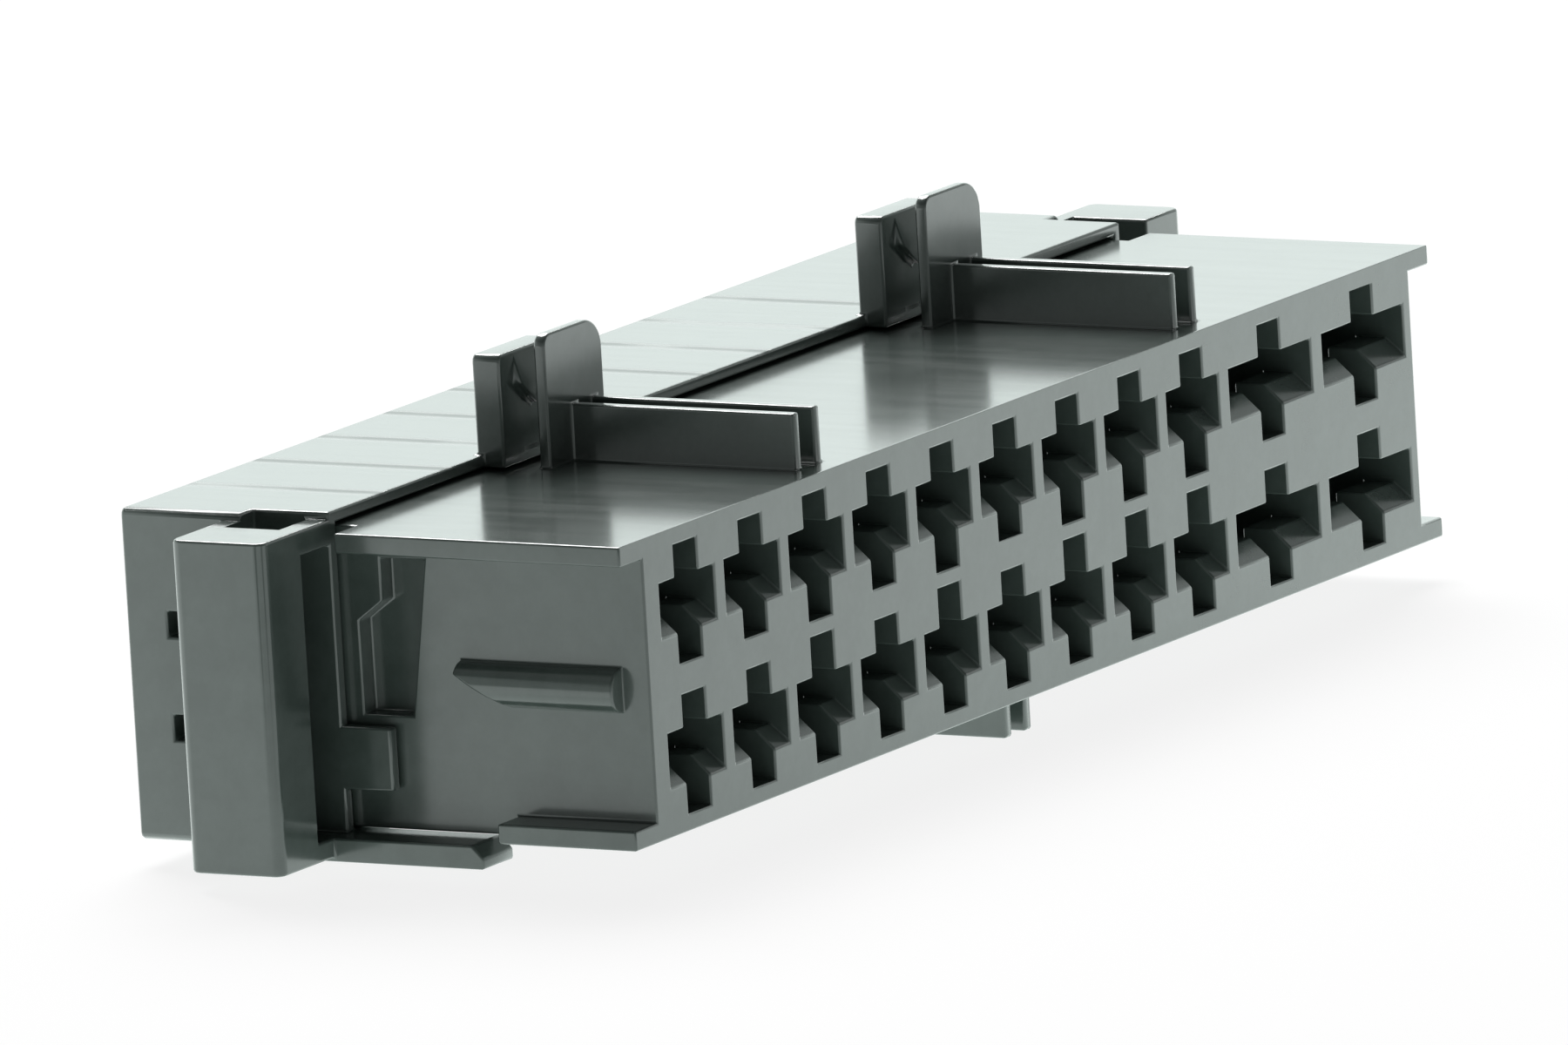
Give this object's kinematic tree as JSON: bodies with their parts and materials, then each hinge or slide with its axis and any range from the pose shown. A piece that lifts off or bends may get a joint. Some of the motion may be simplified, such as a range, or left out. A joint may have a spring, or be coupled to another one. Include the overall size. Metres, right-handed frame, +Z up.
{
  "type": "two-row wiring connector housing with locking collar",
  "caption": "Long two-row socket housing for flat tab contacts, with guide rails, coding ribs and a sliding rear collar that locks the contacts.",
  "frame": {"origin": "middle of the box in X and Y, at the height of the lower rail's foot", "axes": "+X along the contact rows, towards the wide contacts; +Y from the mating face to the wires; +Z up"},
  "size_m": [0.0726, 0.0224, 0.0189],
  "materials": {
    "housing_plastic": "smooth moulded black-grey",
    "collar_plastic": "smooth moulded black-grey"
  },
  "bodies": {
    "housing_body": {"housing": "housing_plastic"},
    "collar_body": {"collar": "collar_plastic"}
  },
  "joints": [
    {"name": "collar_lock", "type": "slide", "parent": "housing_body", "child": "collar_body", "axis": [0, -1, 0], "range_m": [0, 0.0006]}
  ]
}
